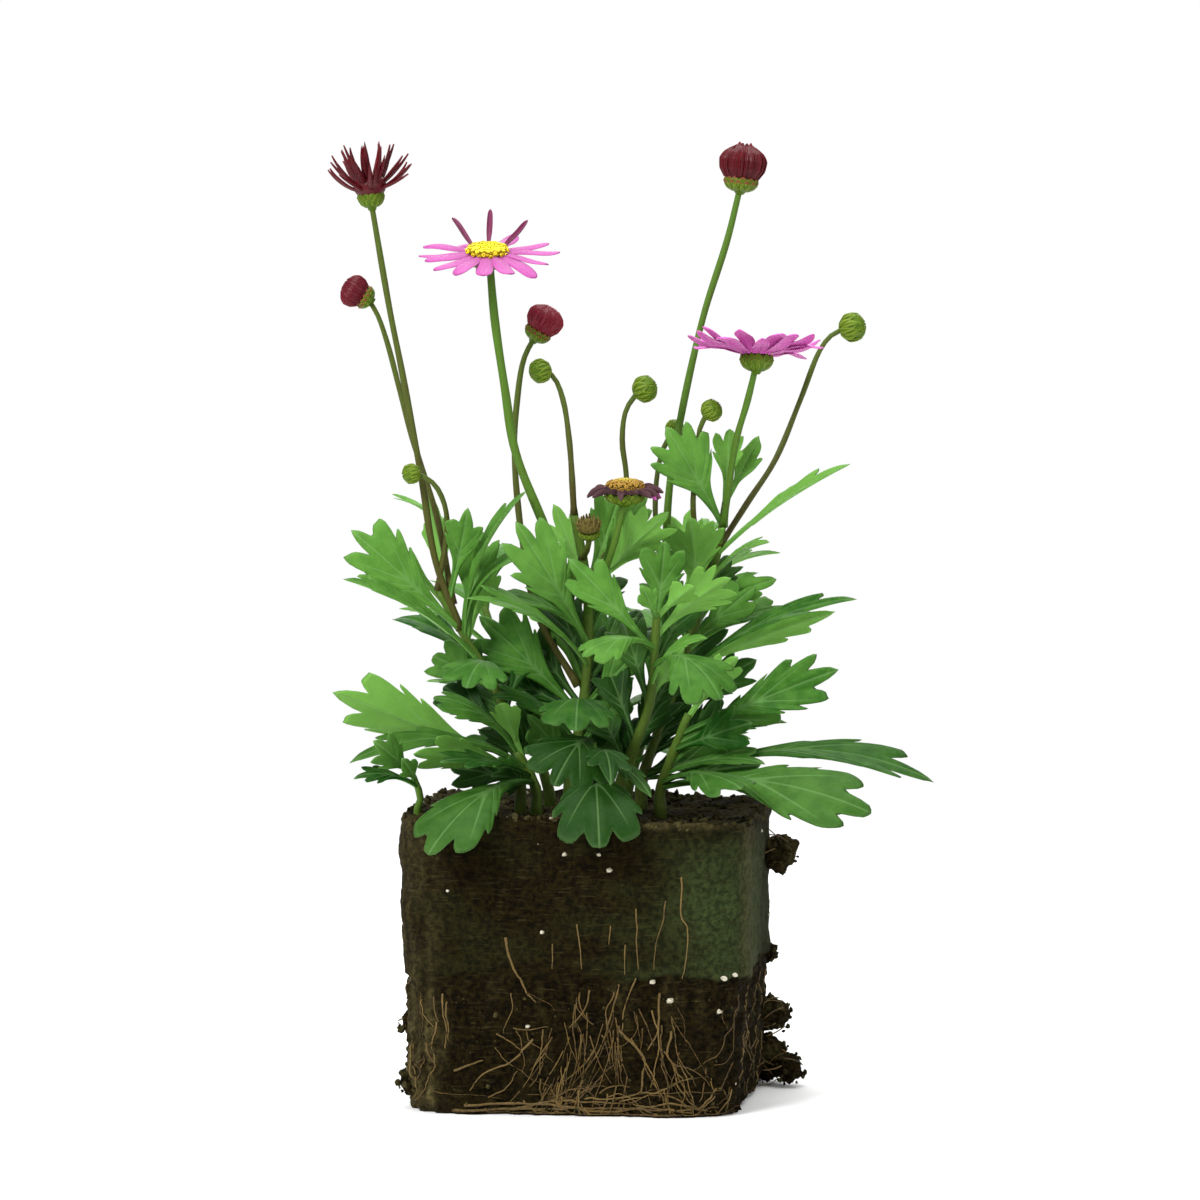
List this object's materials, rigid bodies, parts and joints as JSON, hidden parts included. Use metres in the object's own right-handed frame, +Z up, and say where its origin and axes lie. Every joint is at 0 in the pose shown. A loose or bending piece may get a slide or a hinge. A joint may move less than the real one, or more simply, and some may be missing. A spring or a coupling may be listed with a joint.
{
  "type": "swan river daisy plant with a bare root ball",
  "caption": "Flowering swan river daisy with lobed leaves, pink open heads, dark buds and a bare square root ball that it stands on.",
  "frame": {"origin": "middle of the flat underside of the root ball", "axes": "+Z up along the plant, -Y towards the front that the picture shows, +X to the right"},
  "size_m": [0.1458, 0.125, 0.232],
  "materials": {
    "peat": "matt, crumbly, with fine roots",
    "leaf_and_stem": "satin, finely hairy",
    "petal_pink": "satin",
    "petal_maroon": "matt",
    "petal_red": "matt",
    "disc_yellow": "matt, grainy",
    "disc_amber": "matt, grainy",
    "dead_petal": "matt, dry"
  },
  "bodies": {
    "root": {"root_ball": "peat", "shoot_left": "leaf_and_stem", "shoot_middle": "leaf_and_stem", "shoot_front": "leaf_and_stem", "shoot_right": "leaf_and_stem", "tuft_left": "leaf_and_stem", "tuft_front": "leaf_and_stem", "tuft_right": "leaf_and_stem", "sprig": "leaf_and_stem", "shoot_back_left": "leaf_and_stem", "shoot_back_right": "leaf_and_stem", "tuft_back": "leaf_and_stem", "bloom_left_petals": "petal_pink", "bloom_left_disc": "disc_yellow", "bloom_right_petals": "petal_pink", "bloom_right_disc": "disc_yellow", "half_open_petals": "petal_maroon", "tall_bud_petals": "petal_maroon", "left_bud_petals": "petal_red", "middle_bud_petals": "petal_red", "faded_petals": "dead_petal", "faded_disc": "disc_amber", "spent_head": "dead_petal"}
  },
  "joints": []
}
